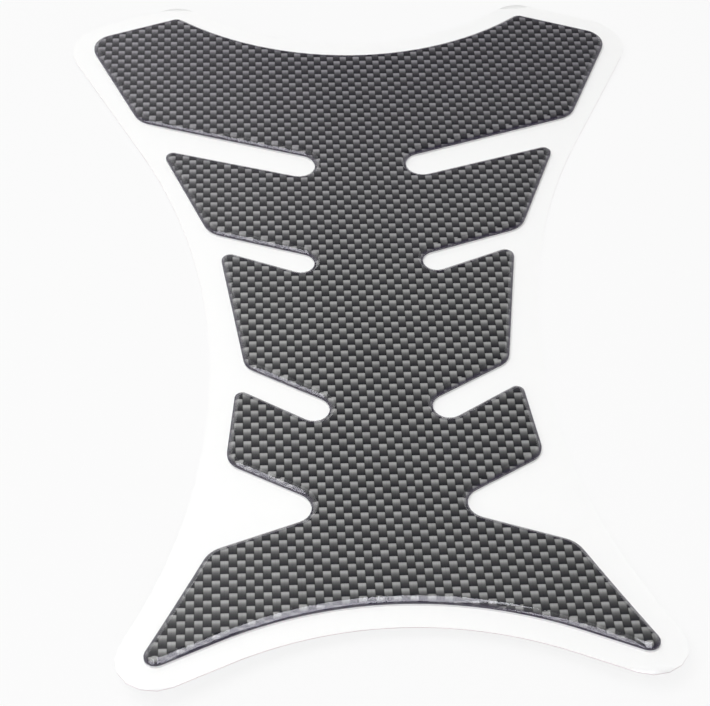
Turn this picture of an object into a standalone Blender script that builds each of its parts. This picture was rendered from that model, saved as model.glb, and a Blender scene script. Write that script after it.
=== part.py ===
"""Domed motorbike tank pad of fishbone outline, lying on its release liner.

Three layers lie on one another: the white release liner, the printed vinyl film
with its adhesive underside, and the clear polyurethane dome cast on the film.

Every outline is the path of a belt that runs round a chain of discs. A disc with
a positive radius rounds a corner of the pad, and a disc with a negative radius
bites a round hollow into its edge. The straight edges are the tangents between
them. Taking the same amount off every radius moves the whole outline inwards,
and adding to them moves it outwards, so the film, the rim of the dome and the
liner all come from one chain.

The head of the pad points to +Y and the foot to -Y. Both ends of the stack curl
up from the surface that it lies on, the foot more than the head.
"""

from collections import namedtuple
from math import asin, atan2, cos, hypot, radians, sin, sqrt, tau

import bmesh
import bpy
from mathutils import Vector

MM = 0.001

# Layers, from the surface that the stack lies on upwards
LINER_THICKNESS = 0.2 * MM
FILM_THICKNESS = 0.2 * MM
DOME_THICKNESS = 1.2 * MM
BOND_GAP = 0.3 * MM

# Rim of the dome, a slightly bowed slope above a short upright edge
RIM_WIDTH = 1.3 * MM
RIM_EDGE_HEIGHT = 0.25 * MM
RIM_BOW = radians(7)
RIM_STEPS = 4

# Discs of the pad: OUT is the distance from the centre line, DOWN the distance
# towards the foot from the disc named before it on the pad's edge
HEAD_PEAK_OUT = 49.6 * MM
HEAD_PEAK_RADIUS = 2.7 * MM
HEAD_SHOULDER_OUT = 67.1 * MM
HEAD_SHOULDER_DOWN = 9.5 * MM
HEAD_SHOULDER_RADIUS = 5.6 * MM
HEAD_HEEL_OUT = 54.4 * MM
HEAD_HEEL_DOWN = 25.6 * MM
HEAD_HEEL_RADIUS = 6.7 * MM

# Ribs: the tip is the outer corner next to the slot above, the heel the one
# next to the slot below
RIB_2_TIP_OUT = 49.9 * MM
RIB_2_TIP_DOWN = 20.4 * MM
RIB_2_TIP_RADIUS = 1.9 * MM
RIB_2_HEEL_OUT = 35.4 * MM
RIB_2_HEEL_DOWN = 23.7 * MM
RIB_2_HEEL_RADIUS = 6.6 * MM
RIB_3_TIP_OUT = 35.0 * MM
RIB_3_TIP_DOWN = 15.7 * MM
RIB_3_TIP_RADIUS = 2.2 * MM
RIB_3_HEEL_OUT = 27.3 * MM
RIB_3_HEEL_DOWN = 33.0 * MM
RIB_3_HEEL_RADIUS = 4.9 * MM
RIB_4_TIP_OUT = 32.6 * MM
RIB_4_TIP_DOWN = 13.0 * MM
RIB_4_TIP_RADIUS = 1.8 * MM
RIB_4_HEEL_OUT = 31.4 * MM
RIB_4_HEEL_DOWN = 16.6 * MM
RIB_4_HEEL_RADIUS = 4.9 * MM

# Slots and the bay above the foot: the round end is measured from the heel above
SLOT_1_END_OUT = 16.5 * MM
SLOT_1_END_DOWN = 24.3 * MM
SLOT_1_END_RADIUS = 4.4 * MM
SLOT_2_END_OUT = 17.2 * MM
SLOT_2_END_DOWN = 17.0 * MM
SLOT_2_END_RADIUS = 3.5 * MM
SLOT_3_END_OUT = 15.9 * MM
SLOT_3_END_DOWN = 16.8 * MM
SLOT_3_END_RADIUS = 3.8 * MM
BAY_END_OUT = 22.1 * MM
BAY_END_DOWN = 16.5 * MM
BAY_END_RADIUS = 4.6 * MM

# Foot
FOOT_SHOULDER_OUT = 35.4 * MM
FOOT_SHOULDER_DOWN = 33.9 * MM
FOOT_SHOULDER_RADIUS = 6.8 * MM
FOOT_TIP_OUT = 51.2 * MM
FOOT_TIP_DOWN = 23.1 * MM
FOOT_TIP_RADIUS = 2.5 * MM

# Hollow ends: how far the arc's apex lies inside the end discs, and the straight
# flank between the arc and the corner's rounding
HEAD_DIP_DEPTH = 13.9 * MM
HEAD_FLANK = 1.9 * MM
FOOT_ARCH_RISE = 12.5 * MM
FOOT_FLANK = 12.6 * MM

# Release liner: it follows the pad's two ends and runs past the ribs in one
# long hollow curve
LINER_END_MARGIN = 6.0 * MM
LINER_SIDE_MARGIN = 4.6 * MM
LINER_WAIST_RADIUS = 178.0 * MM
LINER_WAIST_DOWN = 131.0 * MM

# Curl of the whole stack, measured from the centres of the end discs
FOOT_CURL_LENGTH = 61.8 * MM
FOOT_CURL_RADIUS = 415.0 * MM
FOOT_CURL_STEPS = 12
HEAD_CURL_LENGTH = 61.0 * MM
HEAD_CURL_RADIUS = 1360.0 * MM
HEAD_CURL_STEPS = 5

# Fineness of the round stretches
CORNER_STEPS = 6
SLOT_END_STEPS = 10
END_ARC_STEPS = 26
WAIST_STEPS = 20
SHARPEST_CORNER = 0.1 * MM
CUT_TOLERANCE = 0.001 * MM
SMOOTH_ANGLE = radians(40)

# Colours
LINER_WHITE = (0.88, 0.88, 0.87, 1.0)
FILM_GREY = (0.045, 0.045, 0.048, 1.0)
DOME_CLEAR = (0.80, 0.81, 0.83, 1.0)
DOME_ALPHA = 0.3

Disc = namedtuple("Disc", "x y radius steps")


def corner(x, y, radius):
    """A disc that rounds a corner of the pad."""
    return Disc(x, y, radius, CORNER_STEPS)


def slot_end(x, y, radius):
    """A disc that bites the round end of a slot into the pad's edge."""
    return Disc(x, y, -radius, SLOT_END_STEPS)


def end_arc_radius(out, depth, corner_radius, flank):
    """Radius of an arc whose apex is on the centre line, depth inside the corner
    disc, and whose tangent to that disc has the length flank."""
    return (out**2 + depth**2 - corner_radius**2 - flank**2) / (2 * (depth + corner_radius))


def pad_discs():
    """Discs of the right half of the pad's edge, from the head to the foot."""
    peak_y = 0.0
    shoulder_y = peak_y - HEAD_SHOULDER_DOWN
    head_heel_y = shoulder_y - HEAD_HEEL_DOWN
    rib_2_tip_y = head_heel_y - RIB_2_TIP_DOWN
    rib_2_heel_y = rib_2_tip_y - RIB_2_HEEL_DOWN
    rib_3_tip_y = rib_2_heel_y - RIB_3_TIP_DOWN
    rib_3_heel_y = rib_3_tip_y - RIB_3_HEEL_DOWN
    rib_4_tip_y = rib_3_heel_y - RIB_4_TIP_DOWN
    rib_4_heel_y = rib_4_tip_y - RIB_4_HEEL_DOWN
    foot_shoulder_y = rib_4_heel_y - FOOT_SHOULDER_DOWN
    foot_tip_y = foot_shoulder_y - FOOT_TIP_DOWN
    return [
        corner(HEAD_PEAK_OUT, peak_y, HEAD_PEAK_RADIUS),
        corner(HEAD_SHOULDER_OUT, shoulder_y, HEAD_SHOULDER_RADIUS),
        corner(HEAD_HEEL_OUT, head_heel_y, HEAD_HEEL_RADIUS),
        slot_end(SLOT_1_END_OUT, head_heel_y - SLOT_1_END_DOWN, SLOT_1_END_RADIUS),
        corner(RIB_2_TIP_OUT, rib_2_tip_y, RIB_2_TIP_RADIUS),
        corner(RIB_2_HEEL_OUT, rib_2_heel_y, RIB_2_HEEL_RADIUS),
        slot_end(SLOT_2_END_OUT, rib_2_heel_y - SLOT_2_END_DOWN, SLOT_2_END_RADIUS),
        corner(RIB_3_TIP_OUT, rib_3_tip_y, RIB_3_TIP_RADIUS),
        corner(RIB_3_HEEL_OUT, rib_3_heel_y, RIB_3_HEEL_RADIUS),
        slot_end(SLOT_3_END_OUT, rib_3_heel_y - SLOT_3_END_DOWN, SLOT_3_END_RADIUS),
        corner(RIB_4_TIP_OUT, rib_4_tip_y, RIB_4_TIP_RADIUS),
        corner(RIB_4_HEEL_OUT, rib_4_heel_y, RIB_4_HEEL_RADIUS),
        slot_end(BAY_END_OUT, rib_4_heel_y - BAY_END_DOWN, BAY_END_RADIUS),
        corner(FOOT_SHOULDER_OUT, foot_shoulder_y, FOOT_SHOULDER_RADIUS),
        corner(FOOT_TIP_OUT, foot_tip_y, FOOT_TIP_RADIUS),
    ]


def closed_chain(right_half):
    """The whole chain: the head's arc, the right half, the foot's arc and the
    right half mirrored, clockwise from the middle of the head."""
    peak = right_half[0]
    tip = right_half[-1]
    head_radius = end_arc_radius(peak.x, HEAD_DIP_DEPTH, peak.radius, HEAD_FLANK)
    foot_radius = end_arc_radius(tip.x, FOOT_ARCH_RISE, tip.radius, FOOT_FLANK)
    head_arc = Disc(0.0, peak.y - HEAD_DIP_DEPTH + head_radius, -head_radius, END_ARC_STEPS)
    foot_arc = Disc(0.0, tip.y + FOOT_ARCH_RISE - foot_radius, -foot_radius, END_ARC_STEPS)
    left_half = [disc._replace(x=-disc.x) for disc in reversed(right_half)]
    return [head_arc] + right_half + [foot_arc] + left_half


def waist_disc(right_half):
    """The large disc that bites the liner's long hollow side. It is set as far
    out as the pad's corner discs and their margins need."""
    end_discs = (right_half[1], right_half[-1])
    waist_y = right_half[0].y - LINER_WAIST_DOWN
    waist_x = 0.0
    for disc in right_half:
        if disc.radius < 0:
            continue
        margin = LINER_END_MARGIN if disc in end_discs else LINER_SIDE_MARGIN
        reach = LINER_WAIST_RADIUS + disc.radius + margin
        offset = min(abs(disc.y - waist_y), reach)
        waist_x = max(waist_x, disc.x - LINER_WAIST_RADIUS + sqrt(reach**2 - offset**2))
    return Disc(waist_x + LINER_WAIST_RADIUS, waist_y, -LINER_WAIST_RADIUS - LINER_END_MARGIN, WAIST_STEPS)


def radius_after(disc, inset):
    """Signed radius of a disc once the outline has moved inwards by inset."""
    if disc.radius < 0:
        return disc.radius - inset
    return max(disc.radius - inset, SHARPEST_CORNER)


def outward_normal(start, end, start_radius, end_radius):
    """Unit normal of the tangent that runs from one disc to the next."""
    way = Vector((end.x - start.x, end.y - start.y))
    along = way.normalized()
    across = Vector((-along.y, along.x))
    share = max(-1.0, min(1.0, (start_radius - end_radius) / way.length))
    return along * share + across * sqrt(1 - share**2)


def belt(discs, inset=0.0):
    """Points of the outline round a closed clockwise chain of discs."""
    radii = [radius_after(disc, inset) for disc in discs]
    count = len(discs)
    normals = []
    for index in range(count):
        after = (index + 1) % count
        normals.append(outward_normal(discs[index], discs[after], radii[index], radii[after]))
    points = []
    for index, disc in enumerate(discs):
        first = atan2(normals[index - 1].y, normals[index - 1].x)
        last = atan2(normals[index].y, normals[index].x)
        sweep = (last - first) % tau
        if radii[index] > 0:
            sweep -= tau
        for step in range(disc.steps + 1):
            angle = first + sweep * step / disc.steps
            points.append(Vector((disc.x + radii[index] * cos(angle), disc.y + radii[index] * sin(angle))))
    return points


def rim_profile():
    """Inset and height of each ring of the dome, from its lower edge to its top."""
    crown = DOME_THICKNESS - RIM_EDGE_HEIGHT
    bow_radius = hypot(RIM_WIDTH, crown) / (2 * sin(RIM_BOW))
    steepest = atan2(crown, RIM_WIDTH) + RIM_BOW
    profile = [(0.0, 0.0)]
    for step in range(RIM_STEPS + 1):
        slope = steepest - 2 * RIM_BOW * step / RIM_STEPS
        inset = bow_radius * (sin(steepest) - sin(slope))
        rise = bow_radius * (cos(slope) - cos(steepest))
        profile.append((inset, RIM_EDGE_HEIGHT + rise))
    return profile


def lofted(rings):
    """A closed mesh through rings of points, each an outline and its height."""
    mesh = bmesh.new()
    loops = []
    for outline, height in rings:
        loops.append([mesh.verts.new((point.x, point.y, height)) for point in outline])
    for lower, upper in zip(loops, loops[1:]):
        count = len(lower)
        for index in range(count):
            after = (index + 1) % count
            mesh.faces.new((lower[index], lower[after], upper[after], upper[index]))
    mesh.faces.new(loops[0])
    mesh.faces.new(reversed(loops[-1]))
    return mesh


def cut_across(mesh, levels):
    """Cuts every face along straight lines across the pad, so that it can bend."""
    for level in levels:
        bmesh.ops.bisect_plane(
            mesh,
            geom=mesh.verts[:] + mesh.edges[:] + mesh.faces[:],
            dist=CUT_TOLERANCE,
            plane_co=(0.0, level, 0.0),
            plane_no=(0.0, 1.0, 0.0),
        )


class Curl:
    """The bend of one end: flat up to its start, then an arc that rises."""

    def __init__(self, start, end, radius, steps):
        self.start = start
        self.towards = 1.0 if end > start else -1.0
        self.radius = radius
        self.levels = [start + (end - start) * step / steps for step in range(steps)]

    def bend(self, place):
        """Moves a point of the flat stack to its place on the arc."""
        run = (place.y - self.start) * self.towards
        if run <= 0:
            return
        angle = run / self.radius
        arm = self.radius - place.z
        place.y = self.start + self.towards * arm * sin(angle)
        place.z = self.radius - arm * cos(angle)


def material(name, colour, roughness, alpha=1.0):
    """A Principled material of its own for each layer."""
    made = bpy.data.materials.new(name)
    made.use_nodes = True
    made.diffuse_color = colour[:3] + (alpha,)
    shader = made.node_tree.nodes["Principled BSDF"]
    shader.inputs["Base Color"].default_value = colour
    shader.inputs["Roughness"].default_value = roughness
    shader.inputs["Metallic"].default_value = 0.0
    shader.inputs["Alpha"].default_value = alpha
    return made


def add_layer(name, mesh, curls, centre_y, finish):
    """Bends a flat layer and adds it to the scene as one object."""
    for curl in curls:
        cut_across(mesh, curl.levels)
    for vertex in mesh.verts:
        for curl in curls:
            curl.bend(vertex.co)
        vertex.co.y -= centre_y
    bmesh.ops.recalc_face_normals(mesh, faces=mesh.faces[:])
    data = bpy.data.meshes.new(name)
    mesh.to_mesh(data)
    mesh.free()
    data.shade_smooth()
    data.set_sharp_from_angle(angle=SMOOTH_ANGLE)
    data.materials.append(finish)
    layer = bpy.data.objects.new(name, data)
    bpy.context.scene.collection.objects.link(layer)


def middle_of(outline, curls):
    """The middle of the bent outline along the pad, at the liner's underside."""
    bent = [Vector((point.x, point.y, 0.0)) for point in outline]
    for place in bent:
        for curl in curls:
            curl.bend(place)
    return (max(place.y for place in bent) + min(place.y for place in bent)) / 2


def build():
    """Makes the three layers, centred over the origin."""
    right_half = pad_discs()
    pad_chain = closed_chain(right_half)
    peak, shoulder, tip = right_half[0], right_half[1], right_half[-1]
    liner_chain = closed_chain([peak, shoulder, waist_disc(right_half), tip])
    liner_outline = belt(liner_chain, -LINER_END_MARGIN)
    liner_foot = min(point.y for point in liner_outline)
    liner_head = max(point.y for point in liner_outline)
    curls = [
        Curl(tip.y + FOOT_CURL_LENGTH, liner_foot, FOOT_CURL_RADIUS, FOOT_CURL_STEPS),
        Curl(peak.y - HEAD_CURL_LENGTH, liner_head, HEAD_CURL_RADIUS, HEAD_CURL_STEPS),
    ]
    centre_y = middle_of(liner_outline, curls)

    film_bottom = LINER_THICKNESS + BOND_GAP
    film_top = film_bottom + FILM_THICKNESS
    dome_bottom = film_top + BOND_GAP
    film_outline = belt(pad_chain)

    liner = lofted([(liner_outline, 0.0), (liner_outline, LINER_THICKNESS)])
    film = lofted([(film_outline, film_bottom), (film_outline, film_top)])
    dome = lofted([(belt(pad_chain, inset), dome_bottom + height) for inset, height in rim_profile()])

    add_layer("release_liner", liner, curls, centre_y, material("liner_paper", LINER_WHITE, 0.35))
    add_layer("printed_film", film, curls, centre_y, material("film_print", FILM_GREY, 0.4))
    add_layer("clear_dome", dome, curls, centre_y, material("dome_clear", DOME_CLEAR, 0.05, DOME_ALPHA))


for old in list(bpy.data.objects):
    bpy.data.objects.remove(old)
build()
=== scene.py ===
# %% [markdown]
# # A domed tank pad on its release liner
#
# A tank pad is a thick sticker that keeps a rider's belt buckle off the paint of the
# fuel tank. This one has the outline of a fishbone: a wide head, ribs on both sides
# of a spine, and a foot with two long tips.
#
# It is made of three layers. A vinyl film carries a printed carbon weave, a clear
# resin is poured on the film and sets as a dome, and both lie on a white release
# liner that is peeled off before the pad is stuck down.
#
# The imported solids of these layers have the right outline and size. The notebook
# rebuilds each of them with a smoother surface, and gives it its finish.

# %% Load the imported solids
from math import atan2, cos, hypot, pi, radians, sin

import bmesh
import bpy
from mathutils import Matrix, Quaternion, Vector


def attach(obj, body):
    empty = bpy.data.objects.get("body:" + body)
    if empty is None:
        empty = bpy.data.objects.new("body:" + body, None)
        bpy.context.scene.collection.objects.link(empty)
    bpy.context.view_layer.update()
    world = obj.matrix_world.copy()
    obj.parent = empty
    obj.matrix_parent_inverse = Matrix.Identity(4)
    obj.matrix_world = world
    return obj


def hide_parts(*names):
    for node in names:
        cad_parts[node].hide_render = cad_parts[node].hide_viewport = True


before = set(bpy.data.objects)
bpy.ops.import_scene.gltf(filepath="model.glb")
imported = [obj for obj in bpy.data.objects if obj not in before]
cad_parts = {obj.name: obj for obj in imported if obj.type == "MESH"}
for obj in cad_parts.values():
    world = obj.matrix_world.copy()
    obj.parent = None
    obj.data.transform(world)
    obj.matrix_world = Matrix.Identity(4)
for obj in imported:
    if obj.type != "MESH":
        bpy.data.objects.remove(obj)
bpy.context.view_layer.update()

MM = 0.001
BODY = "root"

print("solids:", ", ".join(sorted(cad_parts)))

# %% [markdown]
# ## Rolling the pad out flat
#
# The pad was printed and cast flat, and its two ends curled up later. Work on it is
# easier in the flat state as well: a rim has the same profile all the way round, and
# the weave is a plain grid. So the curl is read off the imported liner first. Each end
# is flat up to one line and follows an arc from there on. A circle that leaves the
# table at that line and passes through the liner's last point has only one radius.

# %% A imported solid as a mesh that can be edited
MERGE_DISTANCE = 0.0005 * MM


def joined_copy(node):
    """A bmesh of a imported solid, with the corners of its loose triangles joined."""
    mesh = bmesh.new()
    mesh.from_mesh(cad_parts[node].data)
    bmesh.ops.remove_doubles(mesh, verts=mesh.verts, dist=MERGE_DISTANCE)
    mesh.normal_update()
    return mesh


# %% The curl of each end
class Curl:
    """A curled end: flat up to its start, then an arc that rises from the table."""

    def __init__(self, start, last):
        run = abs(last.y - start)
        self.start = start
        self.towards = 1.0 if last.y > start else -1.0
        self.radius = (run**2 + last.z**2) / (2 * last.z)

    def roll_out(self, place):
        """Moves a point of the curled pad to its place on the flat one."""
        run = (place.y - self.start) * self.towards
        if run > 0:
            arm = hypot(run, self.radius - place.z)
            place.y = self.start + self.towards * self.radius * atan2(run, self.radius - place.z)
            place.z = self.radius - arm

    def roll_up(self, place):
        """Moves a point of the flat pad to its place on the curled one."""
        run = (place.y - self.start) * self.towards
        if run > 0:
            arm = self.radius - place.z
            angle = run / self.radius
            place.y = self.start + self.towards * arm * sin(angle)
            place.z = self.radius - arm * cos(angle)


def read_curls():
    """The curls of the foot and of the head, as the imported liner's underside has them."""
    liner = joined_copy("release_liner")
    below = {vertex for face in liner.faces if face.normal.z < 0 for vertex in face.verts}
    places = [vertex.co.copy() for vertex in below]
    liner.free()
    flat = [place.y for place in places if abs(place.z) < MERGE_DISTANCE]
    foot = Curl(min(flat), min(places, key=lambda place: place.y))
    head = Curl(max(flat), max(places, key=lambda place: place.y))
    return foot, head


foot_curl, head_curl = read_curls()
for end, curl in (("foot", foot_curl), ("head", head_curl)):
    print(f"{end} curls from y = {curl.start / MM:.1f} mm on a radius of {curl.radius / MM:.0f} mm")

# %% [markdown]
# ## Outlines
#
# The top of a packed layer, rolled out, is a flat patchwork of triangles. Dissolving
# the edges inside it leaves one face, and that face is the layer's outline. The dome
# is cast to the edge of the film, so these two share theirs.

# %% The outline of a layer as one flat face
FACES_UP = 0.9


def flat_outline(node, level):
    """A bmesh with one face: the outline of a packed layer, flat at the given height."""
    mesh = joined_copy(node)
    for vertex in mesh.verts:
        foot_curl.roll_out(vertex.co)
        head_curl.roll_out(vertex.co)
    mesh.normal_update()
    rest = [face for face in mesh.faces if face.normal.z < FACES_UP]
    bmesh.ops.delete(mesh, geom=rest, context="FACES")
    inner = [edge for edge in mesh.edges if not edge.is_boundary]
    bmesh.ops.dissolve_edges(mesh, edges=inner, use_verts=False)
    for vertex in mesh.verts:
        vertex.co.z = level
    return mesh


# %% Layer heights, read off the solids
def flat_levels(node):
    """Lowest and highest point of a layer in the flat middle of the pad."""
    mesh = joined_copy(node)
    levels = [vertex.co.z for vertex in mesh.verts if foot_curl.start < vertex.co.y < head_curl.start]
    mesh.free()
    return min(levels), max(levels)


_, LINER_TOP = flat_levels("release_liner")
DOME_FOOT, DOME_TOP = flat_levels("clear_dome")
print("liner up to", round(LINER_TOP / MM, 2), "mm")
print("dome from", round(DOME_FOOT / MM, 2), "to", round(DOME_TOP / MM, 2), "mm")

# %% [markdown]
# ## From a flat face to a curled layer
#
# A face becomes a sheet with the solidify operator. Before it can curl it is cut
# across into narrow strips, because a long flat polygon can't bend. The cuts are
# close together on the curled ends and wide apart in the flat middle.
#
# Each point keeps its flat place in an attribute called flat_place. The weave is
# drawn on that, so it bends with the film as ink does.

# %% Cutting, curling and finishing
CURL_STRIP = 2.0 * MM
MIDDLE_STRIP = 10.0 * MM
CUT_TOLERANCE = 0.001 * MM
SHARP_EDGE = radians(50)


def strip_levels(low, high):
    """Levels along the pad at which a layer is cut, from its foot to its head."""
    levels = []
    level = foot_curl.start
    while level > low:
        levels.append(level)
        level -= CURL_STRIP
    level = head_curl.start
    while level < high:
        levels.append(level)
        level += CURL_STRIP
    level = foot_curl.start + MIDDLE_STRIP
    while level < head_curl.start - CURL_STRIP:
        levels.append(level)
        level += MIDDLE_STRIP
    return sorted(levels)


def curled(mesh):
    """Cuts a flat layer into strips, notes each point's flat place and curls the ends."""
    low = min(vertex.co.y for vertex in mesh.verts)
    high = max(vertex.co.y for vertex in mesh.verts)
    for level in strip_levels(low, high):
        bmesh.ops.bisect_plane(
            mesh,
            geom=mesh.verts[:] + mesh.edges[:] + mesh.faces[:],
            dist=CUT_TOLERANCE,
            plane_co=(0.0, level, 0.0),
            plane_no=(0.0, 1.0, 0.0),
        )
    flat_place = mesh.verts.layers.float_vector.new("flat_place")
    for vertex in mesh.verts:
        vertex[flat_place] = vertex.co
        foot_curl.roll_up(vertex.co)
        head_curl.roll_up(vertex.co)
    bmesh.ops.recalc_face_normals(mesh, faces=mesh.faces[:])
    return mesh


def add_layer(name, mesh, node, finish):
    """Makes a finished mesh the visible piece that stands for a packed layer."""
    data = bpy.data.meshes.new(name)
    mesh.to_mesh(data)
    mesh.free()
    data.shade_smooth()
    data.set_sharp_from_angle(angle=SHARP_EDGE)
    data.materials.append(finish)
    layer = bpy.data.objects.new(name, data)
    bpy.context.scene.collection.objects.link(layer)
    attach(layer, BODY)
    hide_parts(node)
    data.calc_loop_triangles()
    print(f"{name}: {len(data.loop_triangles)} triangles")
    return layer


# %% [markdown]
# ## Shader maths that reads like maths
#
# A procedural material is mostly arithmetic on coordinates. Written as nodes, one
# line of it takes ten lines of code. The class below wraps a socket and gives it
# the usual operators, so that an expression adds its Math nodes by itself.

# %% A socket with operators
class Value:
    """A number that varies over a surface, as the output socket of a node."""

    def __init__(self, tree, socket):
        self.tree = tree
        self.socket = socket

    def maths(self, operation, *operands, clamp=False):
        """A Math node on this value and up to two more."""
        node = self.tree.nodes.new("ShaderNodeMath")
        node.operation = operation
        node.use_clamp = clamp
        for slot, operand in zip(node.inputs, operands):
            if isinstance(operand, Value):
                self.tree.links.new(operand.socket, slot)
            else:
                slot.default_value = operand
        return Value(self.tree, node.outputs[0])

    def __add__(self, other):
        return self.maths("ADD", self, other)

    def __radd__(self, other):
        return self.maths("ADD", other, self)

    def __sub__(self, other):
        return self.maths("SUBTRACT", self, other)

    def __rsub__(self, other):
        return self.maths("SUBTRACT", other, self)

    def __mul__(self, other):
        return self.maths("MULTIPLY", self, other)

    def __rmul__(self, other):
        return self.maths("MULTIPLY", other, self)

    def __truediv__(self, other):
        return self.maths("DIVIDE", self, other)

    def floor(self):
        """The whole number below."""
        return self.maths("FLOOR", self)

    def fraction(self):
        """What is left above the whole number below."""
        return self.maths("FRACT", self)

    def clipped(self):
        """Kept between 0 and 1."""
        return self.maths("ADD", self, 0.0, clamp=True)

    def larger(self, other):
        """The larger of two values."""
        return self.maths("MAXIMUM", self, other)

    def above(self, level):
        """1 where the value is above the level, 0 elsewhere."""
        return self.maths("GREATER_THAN", self, level)

    def size(self):
        """The value without its sign."""
        return self.maths("ABSOLUTE", self)


# %% A material and the nodes in it
class Finish:
    """A material under construction, with a Principled shader at its end."""

    def __init__(self, name, **settings):
        self.material = bpy.data.materials.new(name)
        self.material.use_nodes = True
        self.tree = self.material.node_tree
        self.shader = self.tree.nodes["Principled BSDF"]
        self.output = self.tree.nodes["Material Output"]
        for socket, value in settings.items():
            self.shader.inputs[socket.replace("_", " ")].default_value = value

    def node(self, kind, settings=None, **sockets):
        """Adds a node: its settings first, then values or links for its sockets."""
        node = self.tree.nodes.new(kind)
        for name, value in (settings or {}).items():
            setattr(node, name, value)
        for name, value in sockets.items():
            self.feed(node, name.replace("_", " "), value)
        return node

    def feed(self, node, socket, value):
        """Links a value or another node's output to a socket, or sets it."""
        slot = node.inputs[socket]
        if isinstance(value, Value):
            self.tree.links.new(value.socket, slot)
        elif isinstance(value, bpy.types.NodeSocket):
            self.tree.links.new(value, slot)
        else:
            slot.default_value = value

    def value(self, node, output=0):
        """An output of a node as a value that can be calculated with."""
        return Value(self.tree, node.outputs[output])

    def blend(self, share, first, second):
        """A colour between two others: the share of the second one is given."""
        node = self.tree.nodes.new("ShaderNodeMix")
        node.data_type = "RGBA"
        colours = [slot for slot in node.inputs if slot.type == "RGBA"]
        factor = next(slot for slot in node.inputs if slot.identifier == "Factor_Float")
        for slot, value in zip([factor] + colours, (share, first, second)):
            if isinstance(value, Value):
                self.tree.links.new(value.socket, slot)
            elif isinstance(value, bpy.types.NodeSocket):
                self.tree.links.new(value, slot)
            else:
                slot.default_value = value
        return next(socket for socket in node.outputs if socket.type == "RGBA")

    def flat_place(self):
        """The place of a point on the flat pad, as values for X, Y and Z."""
        place = self.node("ShaderNodeAttribute", {"attribute_name": "flat_place"})
        parts = self.node("ShaderNodeSeparateXYZ", Vector=place.outputs["Vector"])
        return [self.value(parts, axis) for axis in "XYZ"]


print("helpers for materials are ready")

# %% [markdown]
# ## The release liner
#
# The liner is thin kraft paper with a silicone coat on one side. It is plain white,
# smooth and a little shiny, with the faint cloudiness that paper shows when it is
# held to a lamp. It needs no more geometry than a sheet.
#
# Only its cut edge has another colour, a dull pink. The material finds that edge by
# height: it is what lies between the underside and the top of the flat sheet.

# %% Liner paper
LINER_WHITE = (0.965, 0.965, 0.96, 1.0)
LINER_CLOUD = (0.95, 0.95, 0.945, 1.0)
CLOUD_SCALE = 220.0
CLOUD_DETAIL = 3.0
SHEEN_ROUGHNESS = 0.38
SHEEN_SPREAD = 0.1
FIBRE_SCALE = 2600.0
FIBRE_DETAIL = 2.0
FIBRE_HEIGHT = 0.01 * MM
FIBRE_STRENGTH = 0.4
CUT_EDGE = (0.74, 0.62, 0.66, 1.0)
EDGE_LIMITS = (0.02, 0.98)


def liner_paper():
    """White silicone paper: faint clouds, fine fibres and a soft sheen."""
    finish = Finish("liner_paper")
    place = finish.node("ShaderNodeTexCoord")
    cloud = finish.node(
        "ShaderNodeTexNoise", Vector=place.outputs["Object"], Scale=CLOUD_SCALE, Detail=CLOUD_DETAIL
    )
    coated = finish.blend(finish.value(cloud, "Fac"), LINER_CLOUD, LINER_WHITE)
    _, _, height = finish.flat_place()
    above_bottom, above_side = (height.above(share * LINER_TOP) for share in EDGE_LIMITS)
    colour = finish.blend(above_bottom - above_side, coated, CUT_EDGE)
    finish.feed(finish.shader, "Base Color", colour)
    fibre = finish.node(
        "ShaderNodeTexNoise", Vector=place.outputs["Object"], Scale=FIBRE_SCALE, Detail=FIBRE_DETAIL
    )
    relief = finish.node(
        "ShaderNodeBump",
        Distance=FIBRE_HEIGHT,
        Strength=FIBRE_STRENGTH,
        Height=finish.value(fibre, "Fac"),
    )
    finish.feed(finish.shader, "Normal", relief.outputs["Normal"])
    roughness = SHEEN_ROUGHNESS + SHEEN_SPREAD * finish.value(cloud, "Fac")
    finish.feed(finish.shader, "Roughness", roughness)
    return finish.material


# %% Build the liner
liner = flat_outline("release_liner", LINER_TOP)
bmesh.ops.solidify(liner, geom=liner.faces[:], thickness=LINER_TOP)
add_layer("backing_sheet", curled(liner), "release_liner", liner_paper())

# %% [markdown]
# ## The printed film
#
# The print imitates a plain weave of carbon tows. Along a column one cell wide, lit
# and dark cells take turns, and each column is one cell out of step with the next.
# A lit cell begins with a sharp edge on the head's side, where the tow rises from
# under its neighbour. It fades slowly towards the foot, where the tow dives again.
#
# So one number is enough to draw it: how far a point is along the two cells of its
# column. A colour ramp turns that number into a tone. The tones below are the ones
# that ink has, from black in the dive to a middle grey on the rise.
#
# The weave gets a little darker towards the head and towards the right. This is painted
# shade: lamps that did this would grey the white liner too, so the shade is painted into the
# ink. SIDE_SHADE at 0 and a head tint like FOOT_TINT give an even print.
#
# At the cut edge the weave fades into a narrow dark margin, which is partly the dark
# edge of the vinyl and partly painted shade under the rim of the dome. The coat of
# adhesive under the film is pale, and shows only from the side.

# %% Where a point lies in the weave
WEAVE_CELL = 1.8333 * MM
WEAVE_SKEW = 0.00193
WEAVE_SHIFT_ACROSS = 0.782
WEAVE_SHIFT_ALONG = -0.8
TOW_ROUNDING = 0.03


def place_in_weave(across, along):
    """The column of a point, how far it is aside of that tow's middle, and its row."""
    across_cells = (across + WEAVE_SKEW * along) / WEAVE_CELL + WEAVE_SHIFT_ACROSS
    column = across_cells.floor()
    aside = across_cells - column - 0.5
    bow = TOW_ROUNDING * aside * aside
    row = (column - along / WEAVE_CELL + WEAVE_SHIFT_ALONG) / 2.0 - bow
    return column, aside, row


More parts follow.
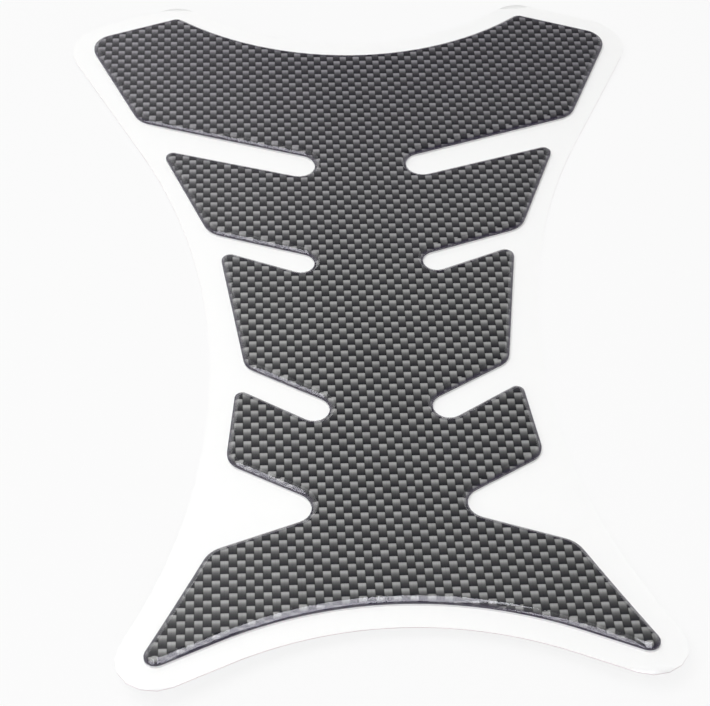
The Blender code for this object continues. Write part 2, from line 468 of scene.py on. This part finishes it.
# %% The tones of a tow, from its rise to its dive
WEAVE_TONES = (
    (0.00, 0.215),
    (0.03, 0.305),
    (0.10, 0.345),
    (0.17, 0.325),
    (0.22, 0.280),
    (0.29, 0.208),
    (0.36, 0.152),
    (0.42, 0.118),
    (0.50, 0.088),
    (0.60, 0.058),
    (0.70, 0.040),
    (0.85, 0.025),
    (0.97, 0.015),
)
VIOLET_CAST = (0.0006, 0.0, 0.0042)


def tow_tone(finish, row):
    """The tone of the ink, read off a ramp by the share of a row."""
    tone = finish.node("ShaderNodeValToRGB", Fac=row.fraction())
    ramp = tone.color_ramp
    ramp.elements.remove(ramp.elements[1])
    for index, (position, grey) in enumerate(WEAVE_TONES):
        stop = ramp.elements[0] if index == 0 else ramp.elements.new(position)
        stop.position = position
        stop.color = [grey + cast for cast in VIOLET_CAST] + [1.0]
    return tone.outputs["Color"]


# %% What makes the tows look like bundles of strands
TOW_GROOVE = 0.55
TOW_GROOVE_WIDTH = 0.16
TOW_PARTING = 0.08
TOW_PARTING_WIDTH = 0.08
STRANDS_ACROSS = 5200.0
STRANDS_ALONG = 260.0
STRAND_SHUFFLE = 3.7
STRAND_CONTRAST = 0.22
CELL_CONTRAST = 0.14


def tow_strength(finish, across, along, column, aside, row):
    """Dark grooves beside a tow, a faint parting in it, fine strands and uneven cells."""
    cell = finish.node("ShaderNodeCombineXYZ", X=column, Y=row.floor())
    chance = finish.node(
        "ShaderNodeTexWhiteNoise", {"noise_dimensions": "2D"}, Vector=cell.outputs[0]
    )
    strand_place = finish.node(
        "ShaderNodeCombineXYZ",
        X=STRANDS_ACROSS * across,
        Y=STRANDS_ALONG * along,
        Z=column * STRAND_SHUFFLE,
    )
    strand = finish.node("ShaderNodeTexNoise", Vector=strand_place.outputs[0], Scale=1.0, Detail=1.0)
    groove = ((aside.size() - (0.5 - TOW_GROOVE_WIDTH)) / TOW_GROOVE_WIDTH).clipped()
    parting = (1.0 - aside.size() / TOW_PARTING_WIDTH).clipped()
    return (
        (1.0 - TOW_GROOVE * groove * groove)
        * (1.0 - TOW_PARTING * parting)
        * (1.0 + CELL_CONTRAST * (finish.value(chance, "Value") - 0.5))
        * (1.0 + STRAND_CONTRAST * (finish.value(strand, "Fac") - 0.5))
    )


# %% The material of the film
# The blend from the foot tint to the head tint is painted shade that darkens the weave towards the head;
# the side shade is painted shade that darkens it towards the right.
FOOT_TINT = (1.0, 1.005, 0.98, 1.0)
HEAD_TINT_AND_SHADE = (0.74, 0.715, 0.765, 1.0)
HEAD_SHADE_FROM = -5 * MM
HEAD_SHADE_TO = 90 * MM
SIDE_SHADE = 0.2
SHADE_WIDTH = 100 * MM
# The margin colour is partly the dark edge of the vinyl and partly painted shade under the rim of the
# dome.
MARGIN_BLACK_AND_SHADE = (0.028, 0.021, 0.043, 1.0)
ADHESIVE_CLEAR = (0.72, 0.72, 0.73, 1.0)
ADHESIVE_TOP = 0.78 * MM


def carbon_print():
    """The printed weave, drawn on the film's flat place, with painted shade towards the head and the
    right, its dark margin and its adhesive.
    """
    finish = Finish("film_print", Roughness=0.5, Specular_IOR_Level=0.0)
    across, along, height = finish.flat_place()
    column, aside, row = place_in_weave(across, along)
    # Painted shade: the weave is darkened towards the right and towards the head.
    toward_right = (0.5 + across / SHADE_WIDTH).clipped() - 0.5
    toward_head = ((along - HEAD_SHADE_FROM) / (HEAD_SHADE_TO - HEAD_SHADE_FROM)).clipped()
    strength_and_side_shade = tow_strength(finish, across, along, column, aside, row) * (1.0 - SIDE_SHADE * toward_right)
    ink_with_head_shade = finish.node(
        "ShaderNodeVectorMath", {"operation": "MULTIPLY"}, Vector=tow_tone(finish, row)
    )
    finish.tree.links.new(finish.blend(toward_head, FOOT_TINT, HEAD_TINT_AND_SHADE), ink_with_head_shade.inputs[1])
    shaded = finish.node(
        "ShaderNodeVectorMath",
        {"operation": "SCALE"},
        Vector=ink_with_head_shade.outputs["Vector"],
        Scale=strength_and_side_shade,
    )
    printed = finish.node("ShaderNodeAttribute", {"attribute_name": "printed"})
    # The dark margin at the cut edge is partly painted shade.
    vinyl = finish.blend(printed.outputs["Fac"], MARGIN_BLACK_AND_SHADE, shaded.outputs["Vector"])
    colour = finish.blend(height.above(ADHESIVE_TOP), ADHESIVE_CLEAR, vinyl)
    finish.feed(finish.shader, "Base Color", colour)
    return finish.material


# %% Build the film
FILM_INSET = 0.03 * MM
FILM_ABOVE_LINER = 0.02 * MM
FILM_INTO_DOME = 0.02 * MM
# The margin and its fade are partly painted shade under the rim of the dome.
MARGIN_WIDTH = 0.2 * MM
MARGIN_SHADE_FADE = 1.1 * MM


def printed_sheet():
    """The film as a flat bmesh, with an attribute that is 1 where the weave shows in full and 0 in its
    dark margin, which is partly painted shade.
    """
    foot = LINER_TOP + FILM_ABOVE_LINER
    top = DOME_FOOT + FILM_INTO_DOME
    mesh = flat_outline("printed_film", top)
    sheet = mesh.faces[:]
    trim = bmesh.ops.inset_region(mesh, faces=sheet, thickness=FILM_INSET, use_even_offset=True)
    bmesh.ops.delete(mesh, geom=trim["faces"], context="FACES")
    bmesh.ops.solidify(mesh, geom=mesh.faces[:], thickness=top - foot)
    mesh.normal_update()
    upper = [face for face in mesh.faces if face.normal.z > FACES_UP]
    for width in (MARGIN_WIDTH, MARGIN_SHADE_FADE):
        bmesh.ops.inset_region(mesh, faces=upper, thickness=width, use_even_offset=True)
    printed = mesh.verts.layers.float.new("printed")
    for vertex in upper[0].verts:
        vertex[printed] = 1.0
    return mesh


add_layer("weave_film", curled(printed_sheet()), "printed_film", carbon_print())

# %% [markdown]
# ## The clear dome
#
# The resin is poured on the film and stops at its edge, where it stands up a little
# and then slopes in to the flat top. That slope is what mirrors the lamps. It is made
# of three arcs that follow on one another: a tight one at the upright edge, a wide
# one for the slope and a small one where it meets the top.
#
# Clear resin bends the light that passes through it, and a path tracer then sees the
# lamps through it only by chance. So the material lets shadow rays and diffuse rays
# pass straight through, and the print is lit without noise.

# %% The rim of the dome
RIM_ARCS = ((0.15 * MM, 90.0, 43.0, 3), (5.8 * MM, 43.0, 29.5, 4), (0.4 * MM, 29.5, 0.0, 4))
HOLDING_RING = 0.1 * MM


def rim_steps():
    """Inward and upward steps of the rim, from its upright edge to the flat top."""
    steps = []
    for radius, first, last, count in RIM_ARCS:
        for index in range(count):
            start = radians(first + (last - first) * index / count)
            end = radians(first + (last - first) * (index + 1) / count)
            steps.append((radius * (sin(start) - sin(end)), radius * (cos(end) - cos(start))))
    return steps


def cast_dome():
    """The dome as a flat bmesh: an upright edge, the rim and a flat top."""
    steps = rim_steps()
    rise = sum(up for _, up in steps)
    foot_edge = DOME_TOP - rise
    mesh = flat_outline("printed_film", foot_edge)
    bmesh.ops.solidify(mesh, geom=mesh.faces[:], thickness=foot_edge - DOME_FOOT)
    mesh.normal_update()
    top = [face for face in mesh.faces if face.normal.z > FACES_UP]
    for inward, up in steps + [(HOLDING_RING, 0.0)]:
        bmesh.ops.inset_region(mesh, faces=top, thickness=inward, depth=up, use_even_offset=True)
    print(f"rim {sum(i for i, _ in steps) / MM:.2f} mm wide and {rise / MM:.2f} mm high")
    return mesh


# %% Clear resin
SWELL_SCALE = 55.0
SWELL_HEIGHT = 0.06 * MM


def clear_resin():
    """Clear polyurethane: smooth and glossy, and it lets the lamps through to the print."""
    finish = Finish(
        "dome_clear",
        Base_Color=(1.0, 1.0, 1.0, 1.0),
        Roughness=0.05,
        IOR=1.5,
        Transmission_Weight=1.0,
    )
    place = finish.node("ShaderNodeTexCoord")
    swell = finish.node(
        "ShaderNodeTexNoise", Vector=place.outputs["Object"], Scale=SWELL_SCALE, Detail=1.0
    )
    relief = finish.node(
        "ShaderNodeBump", Distance=SWELL_HEIGHT, Height=finish.value(swell, "Fac")
    )
    finish.feed(finish.shader, "Normal", relief.outputs["Normal"])
    ray = finish.node("ShaderNodeLightPath")
    straight = finish.value(ray, "Is Shadow Ray").larger(finish.value(ray, "Is Diffuse Ray"))
    through = finish.node("ShaderNodeBsdfTransparent")
    mixed = finish.node("ShaderNodeMixShader", Fac=straight)
    finish.tree.links.new(finish.shader.outputs["BSDF"], mixed.inputs[1])
    finish.tree.links.new(through.outputs["BSDF"], mixed.inputs[2])
    finish.tree.links.new(mixed.outputs["Shader"], finish.output.inputs["Surface"])
    return finish.material


add_layer("cast_dome", curled(cast_dome()), "clear_dome", clear_resin())

# %% [markdown]
# ## Floor, light and camera
#
# The pad lies on a plain white surface. Paper and print are matt, and the dome is a
# mirror, so the two are lit apart. An even room and one soft key lamp, above the pad
# and to its left, light what is matt. The key has no mirror image.
#
# The dome mirrors two more lamps that light nothing else. A small one low in front
# draws the bright line along the arch of the foot, and a large one on the left draws
# the lines along the slots of that side. The room that the dome mirrors is dark, with
# a pale left side and a pale band low down, so the flat top shows the weave.

# %% Floor
FLOOR_SIDE = 4.0
FLOOR_DROP = 0.1 * MM
FLOOR_WHITE = (0.9, 0.9, 0.9, 1.0)
BACKGROUND = 0.965
BACKGROUND_SHARE = 0.87


def white_floor():
    """A white floor that the camera sees evenly bright, with a faint shadow left on it."""
    finish = Finish("floor_white", Base_Color=FLOOR_WHITE, Roughness=0.9)
    ray = finish.node("ShaderNodeLightPath")
    seen = finish.value(ray, "Is Camera Ray").larger(finish.value(ray, "Is Transmission Ray"))
    glow = finish.node(
        "ShaderNodeEmission", Color=(BACKGROUND, BACKGROUND, BACKGROUND, 1.0), Strength=1.0
    )
    mixed = finish.node("ShaderNodeMixShader", Fac=BACKGROUND_SHARE * seen)
    finish.tree.links.new(finish.shader.outputs["BSDF"], mixed.inputs[1])
    finish.tree.links.new(glow.outputs["Emission"], mixed.inputs[2])
    finish.tree.links.new(mixed.outputs["Shader"], finish.output.inputs["Surface"])
    return finish.material


floor_mesh = bmesh.new()
bmesh.ops.create_grid(floor_mesh, x_segments=1, y_segments=1, size=FLOOR_SIDE / 2)
bmesh.ops.translate(floor_mesh, verts=floor_mesh.verts, vec=(0.0, 0.0, -FLOOR_DROP))
floor_data = bpy.data.meshes.new("floor")
floor_mesh.to_mesh(floor_data)
floor_mesh.free()
floor_data.materials.append(white_floor())
floor = bpy.data.objects.new("floor", floor_data)
bpy.context.scene.collection.objects.link(floor)
print(f"floor {FLOOR_SIDE:.0f} m wide, {FLOOR_DROP / MM:.1f} mm below the liner")

# %% Lamps
KEY_PLACE = Vector((-0.27, -0.11, 0.75))
KEY_SIZE = 0.45
KEY_LEVEL = 0.46
CARD_PLACE = (0.078, -0.24, 0.30)
CARD_WIDTH = 0.195
CARD_DEPTH = 0.21
CARD_RADIANCE = 7.5
CARD_TINT = (0.91, 0.905, 1.0)
WALL_PLACE = (-0.58, -0.585, 0.78)
WALL_WIDTH = 0.74
WALL_DEPTH = 0.63
WALL_RADIANCE = 5.5


def add_softbox(name, place, width, depth, radiance, tint=(1.0, 1.0, 1.0)):
    """A rectangular lamp, at first shining straight down."""
    data = bpy.data.lights.new(name, "AREA")
    data.shape = "RECTANGLE"
    data.size = width
    data.size_y = depth
    data.energy = radiance * pi * width * depth
    data.color = tint
    softbox = bpy.data.objects.new(name, data)
    softbox.location = place
    softbox.visible_camera = False
    bpy.context.scene.collection.objects.link(softbox)
    return softbox


def aim_at_pad(lamp):
    """Turns a lamp so that it shines at the middle of the pad."""
    lamp.rotation_mode = "QUATERNION"
    lamp.rotation_quaternion = (-lamp.location).to_track_quat("-Z", "Y")


# How bright a key of radiance 1 makes the table, next to an even room of radiance 1
key_share = KEY_SIZE**2 * (KEY_PLACE.z / KEY_PLACE.length) / (pi * KEY_PLACE.length_squared)
key = add_softbox("key", KEY_PLACE, KEY_SIZE, KEY_SIZE, KEY_LEVEL / key_share)
key.visible_glossy = False
aim_at_pad(key)
card = add_softbox("card", CARD_PLACE, CARD_WIDTH, CARD_DEPTH, CARD_RADIANCE, CARD_TINT)
card.visible_diffuse = False
wall = add_softbox("wall", WALL_PLACE, WALL_WIDTH, WALL_DEPTH, WALL_RADIANCE, CARD_TINT)
wall.visible_diffuse = False
for lamp in (key, card, wall):
    print(f"{lamp.name}: {lamp.location.length:.2f} m from the pad, {lamp.data.energy:.2f} W")

# %% World
ROOM_WHITE = (1.0, 1.0, 1.0, 1.0)
ROOM_FILL = 0.62
ROOM_DARK = 0.08
ROOM_LEFT = 0.8
ROOM_LOW = 0.95
LEFT_FROM = 0.05
LEFT_TO = -0.15
LOW_FROM = sin(radians(47))
LOW_TO = sin(radians(15))


class Room(Finish):
    """The world's nodes, with the helpers that the materials have."""

    def __init__(self, name):
        self.world = bpy.data.worlds.new(name)
        self.world.use_nodes = True
        self.tree = self.world.node_tree
        self.tree.nodes.clear()
        self.output = self.tree.nodes.new("ShaderNodeOutputWorld")

    def fade(self, value, start, end, level):
        """From 0 to a level while the value goes from start to end."""
        fade = self.node(
            "ShaderNodeMapRange",
            Value=value,
            From_Min=start,
            From_Max=end,
            To_Max=level,
        )
        return self.value(fade)


def photo_room():
    """An even room for the light, and for mirror images a dark one, pale left and low down."""
    room = Room("room")
    direction = room.node("ShaderNodeTexCoord")
    parts = room.node("ShaderNodeSeparateXYZ", Vector=direction.outputs["Generated"])
    left = room.fade(room.value(parts, "X"), LEFT_FROM, LEFT_TO, ROOM_LEFT)
    low = room.fade(room.value(parts, "Z"), LOW_FROM, LOW_TO, ROOM_LOW)
    mirrored = room.node("ShaderNodeBackground", Color=ROOM_WHITE, Strength=ROOM_DARK + left + low)
    even = room.node("ShaderNodeBackground", Color=ROOM_WHITE, Strength=ROOM_FILL)
    backdrop = room.node("ShaderNodeBackground", Color=ROOM_WHITE, Strength=BACKGROUND)
    ray = room.node("ShaderNodeLightPath")
    lit = room.node("ShaderNodeMixShader", Fac=room.value(ray, "Is Glossy Ray"))
    room.tree.links.new(even.outputs[0], lit.inputs[1])
    room.tree.links.new(mirrored.outputs[0], lit.inputs[2])
    straight = room.value(ray, "Is Camera Ray").larger(room.value(ray, "Is Transmission Ray"))
    seen = room.node("ShaderNodeMixShader", Fac=straight)
    room.tree.links.new(lit.outputs[0], seen.inputs[1])
    room.tree.links.new(backdrop.outputs[0], seen.inputs[2])
    room.tree.links.new(seen.outputs[0], room.output.inputs["Surface"])
    return room.world


bpy.context.scene.world = photo_room()
print("world with", len(bpy.context.scene.world.node_tree.nodes), "nodes")

# %% Camera
CAMERA_PLACE = Vector((-30.3, -307.1, 317.5)) * MM
CAMERA_TARGET = Vector((-5.2, -19.9, 0.7)) * MM
CAMERA_ROLL = radians(2.44)
LENS = 89.85

camera_data = bpy.data.cameras.new("camera")
camera_data.lens = LENS
camera_data.sensor_width = 36.0
camera = bpy.data.objects.new("camera", camera_data)
camera.location = CAMERA_PLACE
camera.rotation_mode = "QUATERNION"
upright = (CAMERA_TARGET - CAMERA_PLACE).to_track_quat("-Z", "Y")
camera.rotation_quaternion = upright @ Quaternion((0.0, 0.0, 1.0), CAMERA_ROLL)
bpy.context.scene.collection.objects.link(camera)
bpy.context.scene.camera = camera
bpy.context.scene.view_settings.view_transform = "Standard"
print(f"camera {(CAMERA_TARGET - CAMERA_PLACE).length / MM:.0f} mm from the middle of its view")
